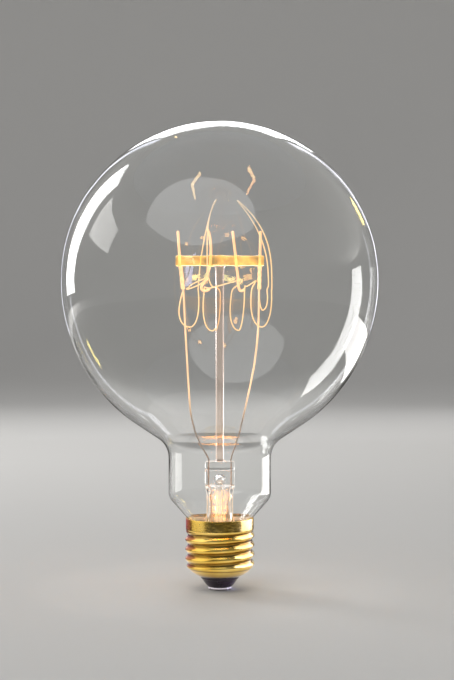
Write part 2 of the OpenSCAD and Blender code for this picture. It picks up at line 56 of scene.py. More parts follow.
def skin(name, grid, loop=False, low=None, high=None, crease=35):
    # Quads join neighbouring rows and columns. low and high are points that close the first and last row,
    # and loop joins the last row to the first. The faces are turned outward by the sign of the volume.
    rows, cols = grid.shape[:2]
    i = np.arange(rows if loop else rows - 1)[:, None]
    j = np.arange(cols)[None, :]
    k = (j + 1) % cols
    after = (i + 1) % rows
    quads = np.stack([i * cols + j, i * cols + k, after * cols + k, after * cols + j], -1).reshape(-1, 4)
    points = grid.reshape(-1, 3)
    fans = np.zeros((0, 3), int)
    if low is not None:
        fans = np.vstack([fans, np.stack([0 * k[0] + len(points), k[0], j[0]], -1)])
        points = np.vstack([points, low])
    if high is not None:
        base = (rows - 1) * cols
        fans = np.vstack([fans, np.stack([0 * k[0] + len(points), base + j[0], base + k[0]], -1)])
        points = np.vstack([points, high])
    a, b, c, d = (points[quads[:, n]] for n in range(4))
    volume = (np.cross(a, b) * c).sum() + (np.cross(a, c) * d).sum()
    if volume < 0:
        quads, fans = quads[:, ::-1], fans[:, ::-1]
    mesh = bpy.data.meshes.new(name)
    mesh.from_pydata(points.tolist(), [], quads.tolist() + fans.tolist())
    mesh.shade_smooth()
    mesh.set_sharp_from_angle(angle=math.radians(crease))
    piece = bpy.data.objects.new(name, mesh)
    bpy.context.scene.collection.objects.link(piece)
    return piece


def around(sides):
    # Even angles once round, in one row.
    return np.linspace(0, turn, sides, endpoint=False)[None, :]


def roundAxis(radius, height, u):
    # Points at the angles u round the axis: x = r cos u, y = r sin u.
    return np.stack([radius * np.cos(u), radius * np.sin(u), height + 0 * u], -1)


def turned(name, profile, sides, loop=False, crease=35):
    # Each profile point (radius, height) in millimetres goes round the axis. A first or last point on the
    # axis becomes a single point.
    radius, height = np.array(profile, float).T * mm
    low = (0, 0, height[0]) if radius[0] < 1e-9 else None
    high = (0, 0, height[-1]) if radius[-1] < 1e-9 else None
    keep = radius > 1e-9
    grid = roundAxis(radius[keep, None], height[keep, None], around(sides))
    return skin(name, grid, loop, low, high, crease)


def smooth(points, steps):
    # Between two points runs a cubic whose slopes are half the step between their neighbours.
    p = np.array(points, float)
    n = np.arange(len(p) - 1)
    a, b, c, d = (q[:, None, :] for q in (p[np.maximum(n - 1, 0)], p[:-1], p[1:], p[np.minimum(n + 2, len(p) - 1)]))
    t = (np.arange(steps) / steps)[None, :, None]
    spans = 0.5 * (2 * b + (c - a) * t + (2 * a - 5 * b + 4 * c - d) * t ** 2 + (3 * b - a - 3 * c + d) * t ** 3)
    return np.vstack([spans.reshape(-1, 3), p[-1:]])


def unit(v):
    # Each vector divided by its own length.
    return v / np.linalg.norm(v, axis=-1, keepdims=True)


def carried(name, path, section, crease=35):
    # Each row's outline is laid on the path's normal and side. The normal starts out nearest to +Y and is
    # then turned by the running sum of the small twists between rows, so the outline never spins.
    heading = unit(np.gradient(path, axis=0))
    normal = unit(np.array([0, 1, 0]) - heading[:, 1:2] * heading)
    side = np.cross(heading, normal)
    held = normal[:-1] - (normal[:-1] * heading[1:]).sum(-1, keepdims=True) * heading[1:]
    twist = np.arctan2((held * side[1:]).sum(-1), (held * normal[1:]).sum(-1))
    angle = np.concatenate([[0], np.cumsum(twist)])[:, None]
    normal, side = normal * np.cos(angle) + side * np.sin(angle), side * np.cos(angle) - normal * np.sin(angle)
    grid = path[:, None] + section[..., :1] * normal[:, None] + section[..., 1:] * side[:, None]
    return skin(name, grid * mm, False, path[0] * mm, path[-1] * mm, crease)


def rounded(path, reach):
    # Adds rows past both ends of a path. They shrink as the cosine while they reach out as the sine.
    a = np.radians([78, 60, 40, 20])[:, None]
    first, last = unit(path[0] - path[1]), unit(path[-1] - path[-2])
    longer = np.vstack([path[0] + first * reach * np.sin(a), path, path[-1] + last * reach * np.sin(a[::-1])])
    scale = np.concatenate([np.cos(a[:, 0]), np.ones(len(path)), np.cos(a[::-1, 0])])
    return longer, scale


def wire(name, points, radius, steps=6, sides=12, last=None):
    # A circle carried along a smooth curve through the points, with a round tip at each end inside its length.
    # Its radius runs evenly to the last one where that is given.
    p = np.array(points, float)
    p[0] += unit(p[1] - p[0]) * radius
    p[-1] += unit(p[-2] - p[-1]) * radius
    path, scale = rounded(smooth(p, steps), radius)
    u = around(sides)[0]
    circle = np.stack([np.cos(u), np.sin(u)], -1)
    size = scale * np.linspace(radius, last or radius, len(path))
    return carried(name, path, size[:, None, None] * circle[None], 60)


def squared(u, width, depth, power):
    # A rounded rectangle about its middle: at angle u its radius is (|cos u / w|^p + |sin u / d|^p) ^ (-1/p).
    c, s = np.cos(u), np.sin(u)
    radius = (np.abs(c / width) ** power + np.abs(s / depth) ** power) ** (-1 / power)
    return radius * c, radius * s


def eased(t):
    # From 0 to 1 with a level start and end: three t squared less two t cubed.
    t = np.clip(t, 0, 1)
    return t * t * (3 - 2 * t)


# Finishes: procedural, on each piece's own coordinates

def finish(name, colour, roughness, values={}):
    # A Principled finish. What is the same all over stands on the shader's own sockets.
    material = bpy.data.materials.new(name)
    material.use_nodes = True
    shader = material.node_tree.nodes["Principled BSDF"]
    shader.inputs["Base Color"].default_value = (*colour, 1)
    shader.inputs["Roughness"].default_value = roughness
    for key, value in values.items():
        shader.inputs[key].default_value = value
    return material


def add(material, kind, values={}, links={}, **settings):
    # One node, with its settings, its plain values and the outputs that feed it.
    made = material.node_tree.nodes.new("ShaderNode" + kind)
    for key, value in settings.items():
        setattr(made, key, value)
    for key, value in values.items():
        made.inputs[key].default_value = value
    for key, output in links.items():
        material.node_tree.links.new(output, made.inputs[key])
    return made


def feed(material, socket, output):
    # A node's output drives one socket of the shader.
    shader = material.node_tree.nodes["Principled BSDF"]
    material.node_tree.links.new(output, shader.inputs[socket])


def ownPlace(material):
    # The point's place on the piece's own axes.
    return add(material, "TexCoord").outputs["Object"]


def facing(material, blend=0.5):
    # 0 where the surface faces the eye, up to 1 along its edges.
    return add(material, "LayerWeight", {"Blend": blend}).outputs["Facing"]


def grain(material, scale, detail=2, stretch=(1, 1, 1)):
    # Noise of so many patches to the metre, squeezed along the piece's axes by the stretch.
    squeezed = add(material, "Mapping", {"Scale": stretch}, {"Vector": ownPlace(material)}).outputs[0]
    return add(material, "TexNoise", {"Scale": scale, "Detail": detail}, {"Vector": squeezed}).outputs[0]


def ranged(material, value, low, high, fromLow=0.35, fromHigh=0.65):
    # A straight line from one range of values to another.
    values = {"From Min": fromLow, "From Max": fromHigh, "To Min": low, "To Max": high}
    return add(material, "MapRange", values, {"Value": value}).outputs[0]


def upward(material, low, high):
    # 0 at the low height and 1 at the high one, both in millimetres.
    height = add(material, "SeparateXYZ", links={"Vector": ownPlace(material)}).outputs["Z"]
    return ranged(material, height, 0, 1, low * mm, high * mm)


def both(material, operation, a, b):
    # Two values multiplied, or added.
    return add(material, "Math", links={0: a, 1: b}, operation=operation).outputs[0]


def tints(material, factor, stops):
    # Colours along a ramp, each given with its place on it.
    ramp = add(material, "ValToRGB", links={"Fac": factor})
    ramp.color_ramp.elements.remove(ramp.color_ramp.elements[1])
    ramp.color_ramp.elements[0].position = stops[0][0]
    ramp.color_ramp.elements[0].color = (*stops[0][1], 1)
    for place, colour in stops[1:]:
        ramp.color_ramp.elements.new(place).color = (*colour, 1)
    return ramp.outputs["Color"]


def relief(material, height, depth):
    # Bumps that stand up by the depth, in millimetres, where the height is 1.
    bump = add(material, "Bump", {"Strength": 1, "Distance": depth * mm}, {"Height": height})
    feed(material, "Normal", bump.outputs[0])


def lampsThrough(material, face, edge):
    # Lamps shine through the glass with little loss where it faces them and with more along its edge.
    tree = material.node_tree
    shade = tints(material, facing(material, 0.25), [(0, (face,) * 3), (0.6, (face,) * 3), (1, (edge,) * 3)])
    clear = add(material, "BsdfTransparent", links={"Color": shade}).outputs[0]
    shadow = add(material, "LightPath").outputs["Is Shadow Ray"]
    mixed = add(material, "MixShader", links={0: shadow, 1: tree.nodes["Principled BSDF"].outputs[0], 2: clear})
    tree.links.new(mixed.outputs[0], tree.nodes["Material Output"].inputs["Surface"])


def glassFinish(name, look):
    # Clear glass with faint ripples, which lets the lamps through.
    material = finish(name, look["colour"], look["roughness"], {"Transmission Weight": 1, "IOR": look["bending"]})
    ripple = grain(material, look["rippleScale"], 1, look["rippleStretch"])
    relief(material, ripple, look["rippleDepth"])
    lampsThrough(material, look["shadowFace"], look["shadowEdge"])
    return material


def shining(material, strength, colour=None):
    # The finish gives off light of its own, in one colour where that is given.
    if colour:
        material.node_tree.nodes["Principled BSDF"].inputs["Emission Color"].default_value = (*colour, 1)
    feed(material, "Emission Strength", strength)
    material.cycles.emission_sampling = "NONE"


def glowing(material, look, strength):
    # The piece shines with one colour where it faces the eye and a deeper one along its edges.
    stops = [(0, look["glow"]), (0.35, look["glow"]), (1, look["glowEdge"])]
    warmth = tints(material, facing(material), stops)
    feed(material, "Emission Color", warmth)
    shining(material, strength)
    return warmth


def dress(piece, material, slot, *nodes):
    # The piece takes its finish, rides on the one body and stands for its solids.
    piece.data.materials.append(material)
    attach(piece, "root")
    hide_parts(*nodes)


def repaint(node, material):
    # A solid that keeps its shape gets a better finish.
    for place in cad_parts[node].material_slots:
        place.material = material


print("frame loaded:", len(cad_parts), "solids")

# Camera: the photograph's frame, with the bulb's foot and axis on the photograph's row and column
photo = {"width": 454, "height": 680, "millimetresToThePixel": 0.3786, "axisColumn": 219.8,
         "footRow": 590.2, "distance": 675, "rise": 22.9}
pixel = photo["millimetresToThePixel"] * mm
middle = Vector(((photo["width"] / 2 - photo["axisColumn"]) * pixel, 0,
                 (photo["footRow"] - photo["height"] / 2) * pixel))
eye = middle + Vector((0, -photo["distance"], photo["rise"])) * mm
camera = bpy.data.objects.new("camera", bpy.data.cameras.new("camera"))
camera.location = eye
camera.rotation_euler = (middle - eye).to_track_quat("-Z", "Y").to_euler()
camera.data.sensor_fit = "VERTICAL"
camera.data.lens = camera.data.sensor_height * (middle - eye).length / (photo["height"] * pixel)
camera.data.clip_start = 0.01
bpy.context.scene.collection.objects.link(camera)
bpy.context.scene.camera = camera

# Studio: a round sweep of pale card, a dark ring that only reflections show, soft lamps and a dim grey sky
studio = {"card": (0.60, 0.59, 0.57), "reach": 1700, "corner": 700, "wall": 1900,
          "aim": {"all": 105, "rest": 105, "bulb": 105, "cap": 20, "brass": 20}, "ring": (70, 640),
          "ringColour": (0.08, 0.07, 0.06), "sky": (0.27, 0.28, 0.30), "bounces": 28}
lamps = {  # name: azimuth from +X, elevation, distance, width, height, brightness, colour, what it lights
    "leftStrip": (138, 18, 900, 260, 690, 6.0, (1.0, 0.99, 0.98), "rest"),
    "leftEdge": (110, 16, 950, 50, 760, 1.6, (0.86, 0.88, 1.0), "bulb"),
    "crownBox": (90, 29, 950, 460, 300, 4.5, (0.97, 0.98, 1.0), "all"),
    "rightEdge": (69, 14, 950, 60, 720, 2.0, (0.90, 0.90, 1.0), "all"),
    "warmSpot": (57, 16, 950, 60, 110, 6.0, (1.0, 0.80, 0.22), "all"),
    "lowRight": (36, -17, 250, 150, 60, 3.2, (1.0, 0.98, 0.96), "bulb"),
    "overheadFill": (252, 48, 1700, 2400, 1800, 1.45, (1.0, 1.0, 1.0), "rest"),
    "capRight": (15, 22, 130, 160, 190, 4.5, (1.0, 1.0, 1.7), "cap"),
    "capLeft": (192, 22, 130, 150, 190, 1.3, (1.0, 0.93, 0.78), "cap"),
    "capRose": (129, 15, 130, 140, 160, 0.42, (0.95, 0.24, 0.62), "cap"),
    "capUnder": (0, -90, 19.4, 130, 130, 0.5, (1.0, 0.95, 1.0), "brass"),
}
embers = {  # small round lamps that stand for the filament's glow in the globe's glass
    "radius": 1.1, "brightness": 18, "colour": (1.0, 0.46, 0.10), "places": [
        (-13.5, 0, 113), (-8, 3, 112), (-4, -1, 117), (1, -1, 116), (6, -1, 117.5), (9.5, 0, 116),
        (13.5, 0, 117), (19, -3, 112), (-6.5, 0, 131), (-3.2, 0, 144.6), (11, 0, 143), (16, 0, 136),
        (-11, 2, 99), (-3, 1.5, 98), (7.5, 1, 98), (17, -2, 99.5)]}
echoes = {  # narrow lamps that only the globe's glass reflects: ends, heading, width, spread, brightness, colour
    "neckBand": ((0, -15, 112), (0, 15, 112), (0, 0, -1), 46, 56, 11, (1.0, 0.36, 0.04)),
    "paleStreak": ((12.8, 0, 105.8), (12.8, 0, 119.0), (0, 1, 0), 4.4, 60, 16, (0.80, 0.74, 1.0)),
    "hookGlowLeft": ((10.5, 0, 116.4), (4.5, 0, 115.8), (0, 1, 0), 2.2, 60, 13, (1.0, 0.76, 0.22)),
    "hookGlowRight": ((-0.9, 0, 116.4), (-8.8, 0, 117.2), (0, 1, 0), 2.2, 60, 14, (1.0, 0.80, 0.25)),
    "hookGlowFar": ((-9.5, 0, 115.9), (-14.5, 0, 115.3), (0, 1, 0), 2.2, 60, 8, (1.0, 0.50, 0.12)),
    "leftLow": ((-9.9, 47.4, 149), (-9.3, 42.2, 149), (-0.2, 0.2, 0.96), 0.8, 70, 14, (1.0, 0.66, 0.30)),
    "leftHigh": ((-9.3, 42.2, 149), (-5.9, 40.0, 149), (-0.2, 0.1, 0.97), 0.7, 60, 14, (1.0, 0.66, 0.30)),
    "rightLow": ((9.7, 45.5, 149), (10.7, 40.4, 149), (0.25, 0.1, 0.96), 0.8, 64, 14, (1.0, 0.50, 0.20)),
    "rightHigh": ((10.7, 40.4, 149), (7.9, 38.8, 149), (0.25, 0, 0.97), 0.7, 54, 16, (1.0, 0.60, 0.26)),
}
a = np.radians(np.linspace(0, 90, 24))
floorEdge = studio["reach"] - studio["corner"]
sweep = np.concatenate([
    [[0, 0], [120, 0], [400, 0], [floorEdge, 0]],
    np.stack([floorEdge + studio["corner"] * np.sin(a), studio["corner"] * (1 - np.cos(a))], -1)[1:],
    [[studio["reach"], studio["wall"]]]])
floor = turned("floor", sweep, 128)
card = finish("paleCard", studio["card"], 0.9)
relief(card, grain(card, 400, 3), 0.05)
floor.data.materials.append(card)
floor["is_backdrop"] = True
ring = turned("ring", [[studio["ring"][0], 1], [studio["ring"][1], 1]], 96)
ring.data.materials.append(finish("darkCard", studio["ringColour"], 0.9))
ring.visible_camera = ring.visible_diffuse = ring.visible_transmission = ring.visible_shadow = False
ring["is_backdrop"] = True
# groups of pieces that a lamp can be held to
lit = {name: bpy.data.collections.new("lit" + name.title()) for name in ("rest", "bulb", "cap", "brass", "globe")}


def placed(name, lamp, place, lights, throughGlass=True):
    # A lamp that the camera doesn't see. It lights everything, or only the pieces of one group.
    holder = bpy.data.objects.new(name, lamp)
    holder.location = place
    holder.visible_camera = False
    holder.visible_transmission = throughGlass
    if lights != "all":
        holder.light_linking.receiver_collection = lit[lights]
    bpy.context.scene.collection.objects.link(holder)
    return holder


for name, (azimuth, elevation, distance, width, height, brightness, colour, lights) in lamps.items():
    lamp = bpy.data.lights.new(name, "AREA")
    wide = width > 1000   # the overhead lamp is an ellipse, which has less face to give light
    lamp.shape = "ELLIPSE" if wide else "RECTANGLE"
    lamp.size, lamp.size_y, lamp.color = width * mm, height * mm, colour
    lamp.energy = brightness * math.pi * width * mm * height * mm * (math.pi / 4 if wide else 1)
    swing, up = math.radians(azimuth), math.radians(elevation)
    out = Vector((math.cos(swing), math.sin(swing), 0)) * math.cos(up)
    out.z = math.sin(up)
    holder = placed(name, lamp, Vector((0, 0, studio["aim"][lights] * mm)) + out * distance * mm, lights)
    holder.rotation_euler = (-out).to_track_quat("-Z", "Y").to_euler()
ember = bpy.data.lights.new("ember", "POINT")
ember.shadow_soft_size, ember.color = embers["radius"] * mm, embers["colour"]
ember.energy = embers["brightness"] * 4 * (math.pi * embers["radius"] * mm) ** 2
for place in embers["places"]:
    placed("ember", ember, Vector(place) * mm, "globe", throughGlass=False)
for name, (start, end, heading, width, spread, brightness, colour) in echoes.items():
    start, end = Vector(start) * mm, Vector(end) * mm
    along = (end - start).normalized()
    away = (Vector(heading) - along * along.dot(Vector(heading))).normalized()
    lamp = bpy.data.lights.new(name, "AREA")
    lamp.shape, lamp.spread = "RECTANGLE", math.radians(spread)
    lamp.size, lamp.size_y, lamp.color = width * mm, (end - start).length, colour
    lamp.energy = brightness * math.pi * lamp.size * lamp.size_y
    holder = placed(name, lamp, (start + end) / 2, "globe", throughGlass=False)
    holder.rotation_euler = Matrix((along.cross(-away), along, -away)).transposed().to_euler()
world = bpy.data.worlds.new("studio")
bpy.context.scene.world = world
world.use_nodes = True
world.node_tree.nodes["Background"].inputs["Color"].default_value = (*studio["sky"], 1)
bpy.context.scene.view_settings.view_transform = "Standard"
cycles = bpy.context.scene.cycles
cycles.max_bounces = cycles.transmission_bounces = studio["bounces"]   # many, because glass stands behind glass
print("studio set:", len(lamps), "lamps")

# Glass envelope: the globe, its straight shoulder, the hollow, the neck and its foot, closed over the stem's rim
globe = {"radius": 60, "lowHeight": 63.8, "shoulder": 32, "hollow": 9, "neck": 19.4, "neckLength": 13,
         "footRound": 5, "footSlope": 48.7, "rimRadius": 12.45, "rimHeight": 27.3, "seal": 10.8,
         "sealHeight": 20, "wall": 0.9, "sides": 192,
         "glass": {"colour": (0.985, 0.99, 0.985), "roughness": 0, "bending": 1.48, "rippleScale": 55,
                   "rippleStretch": (1, 1, 1), "rippleDepth": 0.12, "shadowFace": 0.93, "shadowEdge": 0.45}}
shoulderSine = math.sqrt(1 - (globe["shoulder"] / globe["radius"]) ** 2)
shoulderRise = globe["shoulder"] * globe["lowHeight"] / (globe["radius"] ** 2 * shoulderSine)
hollowTurn = np.pi / 2 - math.atan(shoulderRise)
footSlope = math.radians(globe["footSlope"])
footTurn = np.pi / 2 - footSlope
footRadius = globe["neck"] - globe["footRound"] * (1 - math.cos(footTurn))
footHeight = globe["rimHeight"] + (footRadius - globe["rimRadius"]) * math.tan(footSlope)
neckHeight = footHeight + globe["footRound"] * math.sin(footTurn)
neckTop = neckHeight + globe["neckLength"]
globeHeight = (neckTop + globe["hollow"] * math.tan(hollowTurn / 2)
               + (globe["shoulder"] - globe["neck"]) * shoulderRise + globe["lowHeight"] * shoulderSine)


def glassOutline(wall):
    # From the seal up: a cone, the foot's arc, the neck, the hollow's arc, the lower half ellipse to the widest
    # place and the upper half circle to the axis, all drawn in by the wall.
    wide, low = globe["radius"] - wall, globe["lowHeight"] - wall
    corner, hollow = globe["footRound"] - wall, globe["hollow"] + wall
    foot = footTurn * np.linspace(1, 0, 14)
    bend = hollowTurn * np.linspace(0, 1, 18)
    under = math.acos(globe["shoulder"] / globe["radius"]) * np.linspace(1, 0, 52)
    over = np.radians(np.linspace(0, 90, 84)[1:])
    sealed = globe["seal"] - wall
    coneFoot = footHeight + wall / math.cos(footSlope) - (footRadius - sealed) * math.tan(footSlope)
    return np.vstack([
        [[sealed, globe["sealHeight"]], [sealed, (globe["sealHeight"] + coneFoot) / 2], [sealed, coneFoot]],
        np.stack([globe["neck"] - globe["footRound"] + corner * np.cos(foot),
                  neckHeight - corner * np.sin(foot)], -1),
        np.stack([globe["neck"] + globe["hollow"] - hollow * np.cos(bend),
                  neckTop + hollow * np.sin(bend)], -1),
        np.stack([wide * np.cos(under), globeHeight - low * np.sin(under)], -1),
        np.stack([wide * np.cos(over[:-1]), globeHeight + wide * np.sin(over[:-1])], -1),
        [[0, globeHeight + wide]]])


clearGlass = glassFinish("clearGlass", globe["glass"])
bothWalls = np.vstack([glassOutline(globe["wall"])[::-1], glassOutline(0)])
envelope = turned("glassEnvelope", bothWalls, globe["sides"], crease=30)
dress(envelope, clearGlass, "clear_glass", "glass_envelope")
print("glass envelope made:", len(envelope.data.polygons), "faces")

# Stem: a trumpet foot, a tube and a flat press with a crease across it and a blown hole
stem = {"tube": 5, "wall": 0.9, "foot": 9.9, "footHeight": 20, "tubeHeight": 30, "blendHeight": 35.9,
        "pressHeight": 40.3, "top": 48.9, "halfWidth": 5.6, "halfDepth": 2.1, "squareness": 6, "corner": 1.0,
        "cornerDepth": 0.6, "cavityTop": 39.5, "cavityDepth": 0.3, "row": 0.15, "crease": 45.5,
        "creaseHeight": 0.32, "creaseDepth": 0.35, "creaseSides": 0.14, "hole": 1.4, "holeHeight": 41.9,
        "well": 0.9, "wellEdge": 0.9, "lip": 0.1, "lipWidth": 0.35, "lid": (0.85, 0.6, 0.35, 0.15), "sides": 160,
        "shine": (1.0, 0.92, 0.86), "warm": (1.0, 0.66, 0.36), "warmFrom": 38.5, "warmTo": 34,
        "glass": {"colour": (0.97, 0.965, 0.955), "roughness": 0, "bending": 1.54, "rippleScale": 420,
                  "rippleStretch": (1, 1, 0.12), "rippleDepth": 0.06, "shadowFace": 0.9, "shadowEdge": 0.5},
        "ripple": {"rippleDepth": 0.16, "rippleStretch": (1, 1, 0.4)}}


def stemRows(inside):
    # Heights, half widths, half depths and squareness of one wall, from its foot up.
    tube, row = stem["tube"] - inside, stem["row"]
    foot = stem["footHeight"] + stem["wall"] - inside
    u = np.radians(np.linspace(90, 0, 18))
    flareHeights = foot + (stem["tubeHeight"] - foot) * (1 - np.sin(u))
    flare = tube + (stem["foot"] - tube) * (1 - np.cos(u))
    top = stem["cavityTop"] if inside else stem["top"]
    above = np.concatenate([np.linspace(stem["tubeHeight"], stem["blendHeight"], 8)[1:],
                            np.arange(stem["blendHeight"] + row, top - 0.04, row), [top]])
    blend = eased((above - stem["blendHeight"]) / (stem["pressHeight"] - stem["blendHeight"]))
    narrow = np.clip(above - top + stem["corner"], 0, stem["corner"])
    drawn = stem["corner"] - np.sqrt(stem["corner"] ** 2 - narrow ** 2)
    crease = np.exp(-((above - stem["crease"]) / stem["creaseHeight"]) ** 2) * (inside == 0)
    wide = tube + (stem["halfWidth"] - stem["tube"]) * blend - drawn - stem["creaseSides"] * crease
    deep = tube + (stem["halfDepth"] - stem["tube"] + stem["cavityDepth"] * inside) * blend
    deep = deep - stem["cornerDepth"] * drawn * blend - stem["creaseDepth"] * crease
    square = 2 + (stem["squareness"] - 2) * blend
    return (np.concatenate([flareHeights, above]), np.concatenate([flare, wide]), np.concatenate([flare, deep]),
            np.concatenate([2 + 0 * flare, square]))


u = around(stem["sides"])
walls = []
for inside in (stem["wall"], 0):
    height, wide, deep, square = (v[:, None] for v in stemRows(inside))
    x, y = squared(u, wide, deep, square)
    walls.append(np.stack([x, y, height + 0 * u], -1))
inner, outer = walls
away = np.hypot(outer[..., 0], outer[..., 2] - stem["holeHeight"])
onFace = (outer[..., 2] > stem["pressHeight"] - 1.5) & (np.abs(outer[..., 1]) > 0.5)   # the press's flat sides
sunk = stem["well"] * np.exp(-(away / stem["hole"] / stem["wellEdge"]) ** 6)   # the hole's well on both faces
raised = stem["lip"] * np.exp(-((away - stem["hole"] - stem["lipWidth"]) / stem["lipWidth"]) ** 2)   # its ring
outer[..., 1] *= np.where(onFace, 1 - sunk + raised, 1)
lid = outer[-1] * [0, 0, 1] + outer[-1] * [1, 1, 0] * np.array(stem["lid"])[:, None, None]
stemGrid = np.concatenate([inner[::-1], outer, lid])
stemGlass = glassFinish("stemGlass", {**stem["glass"], **stem["ripple"]})
# painted glow: the glass gives off light, pale above and warm low in the neck, for the filament's light
below = upward(stemGlass, stem["warmFrom"], stem["warmTo"])
feed(stemGlass, "Emission Color", tints(stemGlass, below, [(0, stem["shine"]), (1, stem["warm"])]))
streaks = ranged(stemGlass, grain(stemGlass, 1000, 3, (1, 1, 0.07)), 0, 0.1, 0.47, 0.6)
streaks = both(stemGlass, "MULTIPLY", streaks, below)   # the filament's light on the tube
edges = ranged(stemGlass, facing(stemGlass), 0, 0.9, 0.55, 0.92)   # and a painted glow along its edges
shining(stemGlass, both(stemGlass, "ADD", edges, streaks))
flare = skin("stemFlare", stemGrid * mm, False, np.array([0, 0, stem["cavityTop"]]) * mm,
             np.array([0, 0, stem["top"]]) * mm)
dress(flare, stemGlass, "stem_glass", "stem_flare")

# Exhaust tube, sealed to a tip inside the cap, and the rod that carries the cross-bar
exhaust = {"radius": 1.9, "wall": 0.85, "tip": 12, "taper": 3, "top": 40.1, "sides": 48,
           "glow": (1.0, 0.60, 0.30), "glowFrom": 39.5, "glowTo": 34}
u = np.radians(np.linspace(0, 90, 12))
bore = exhaust["radius"] - exhaust["wall"]
tube = turned("exhaustTube", np.vstack([
    np.stack([exhaust["radius"] * np.sin(u), exhaust["tip"] + exhaust["taper"] * (1 - np.cos(u))], -1),
    [[exhaust["radius"], exhaust["top"]], [bore, exhaust["top"]]],
    np.stack([bore * np.cos(u), exhaust["tip"] + exhaust["taper"] - bore * np.sin(u)], -1)]), exhaust["sides"])
tubeGlass = glassFinish("tubeGlass", stem["glass"])
# painted glow: streaks of warm light on the tube, strongest below 34 mm and none above 39.5 mm
streaks = ranged(tubeGlass, grain(tubeGlass, 900, 2, (1, 1, 0.05)), 0, 0.42, 0.46, 0.62)
below = upward(tubeGlass, exhaust["glowFrom"], exhaust["glowTo"])
shining(tubeGlass, both(tubeGlass, "MULTIPLY", streaks, below), exhaust["glow"])
dress(tube, tubeGlass, "stem_glass", "exhaust_tube")

# the rod's warm glass tint is painted light, standing in for the filament's light on clear glass
rod = {"radius": 1.5, "thicker": 0.13, "foot": 48.88, "fillet": 1.0, "even": (53, 119), "waver": 0.025,
       "waverLength": 6.1, "mouth": 0.6, "mouthLength": 0.8, "sides": 64, "glow": (1.0, 0.60, 0.38),
       "glass": {"colour": (1.0, 0.86, 0.77), "bending": 1.13, "roughness": 0.22}}
postPlaces = np.array([-15.2, -3.55, 6.15, 15.15])
# the bar's amber colour is painted light: clear glass tinted to stand in for the filament's warm light
bar = {"height": 124.7, "radius": 1.9, "length": 33.4, "edge": 0.45, "swell": 0.22, "swellWidth": 1.1,
       "rodSwell": 0.25, "rodSwellWidth": 2.2, "waver": 0.03, "squareness": 2.5, "sides": 64,
       "colour": (0.95, 0.68, 0.30), "roughness": 0.24, "bending": 1.12, "glow": (1.0, 0.52, 0.12),
       "glowEdge": (1.0, 0.72, 0.30), "shadowFace": 0.8, "shadowEdge": 0.5}
barFoot = bar["height"] - bar["radius"]
z = np.concatenate([rod["foot"] + np.linspace(0, 1, 16) ** 2 * 3, np.linspace(*rod["even"], 60),
                    np.linspace(rod["even"][1] + 0.5, barFoot + 0.5, 24)])
curve = np.clip(rod["foot"] + rod["fillet"] - z, 0, rod["fillet"])
fillet = rod["fillet"] - np.sqrt(rod["fillet"] ** 2 - curve ** 2)
radius = (rod["radius"] + rod["thicker"] * (z - rod["foot"]) / (barFoot - rod["foot"])
          + rod["waver"] * np.sin(z / rod["waverLength"]) + fillet
          + rod["mouth"] * np.exp((z - barFoot) / rod["mouthLength"]))
rodPiece = turned("glassRod", np.vstack([[[0, z[0]]], np.stack([radius, z], -1), [[0, z[-1]]]]), rod["sides"])
rodGlass = glassFinish("rodGlass", {**stem["glass"], **rod["glass"]})
edges = ranged(rodGlass, facing(rodGlass), 0.03, 0.7, 0.56, 0.88)   # the filament's light along its edges
shining(rodGlass, edges, rod["glow"])
dress(rodPiece, rodGlass, "stem_glass", "glass_rod")
print("stem made:", len(flare.data.polygons), "faces")

# Cross-bar: a glass cane with squared ends that swells where wires and rod run into it
x = np.linspace(-bar["length"] / 2 + bar["edge"], bar["length"] / 2 - bar["edge"], 150)
a = np.radians(np.linspace(90, 15, 6))
ends = np.concatenate([x[0] - bar["edge"] * np.sin(a), x, x[-1] + bar["edge"] * np.sin(a[::-1])])
drawn = np.concatenate([bar["edge"] * (1 - np.cos(a)), 0 * x, bar["edge"] * (1 - np.cos(a[::-1]))])
swell = (bar["swell"] * np.exp(-((ends[:, None] - postPlaces) / bar["swellWidth"]) ** 2).sum(-1)
         + bar["rodSwell"] * np.exp(-(ends / bar["rodSwellWidth"]) ** 2) + bar["waver"] * np.sin(ends * 1.9))
barRadius = (bar["radius"] - drawn + swell)[:, None]
across, along = squared(around(bar["sides"]), barRadius, barRadius, bar["squareness"])
barPath = np.stack([ends, 0 * ends, bar["height"] + 0 * ends], -1)
crossBar = carried("crossBar", barPath, np.stack([across, along], -1))
barGlass = finish("barGlass", bar["colour"], bar["roughness"], {"Transmission Weight": 1, "IOR": bar["bending"]})
relief(barGlass, grain(barGlass, 300, 2, (0.3, 1, 1)), 0.05)
# painted glow: the bar shines in patches and along its edges
patches = ranged(barGlass, grain(barGlass, 260), 0.12, 0.72, 0.4, 0.62)
edges = ranged(barGlass, facing(barGlass), 0, 0.35, 0.62, 0.9)
glowing(barGlass, bar, both(barGlass, "ADD", patches, edges))
lampsThrough(barGlass, bar["shadowFace"], bar["shadowEdge"])
dress(crossBar, barGlass, "stem_glass", "cross_bar")

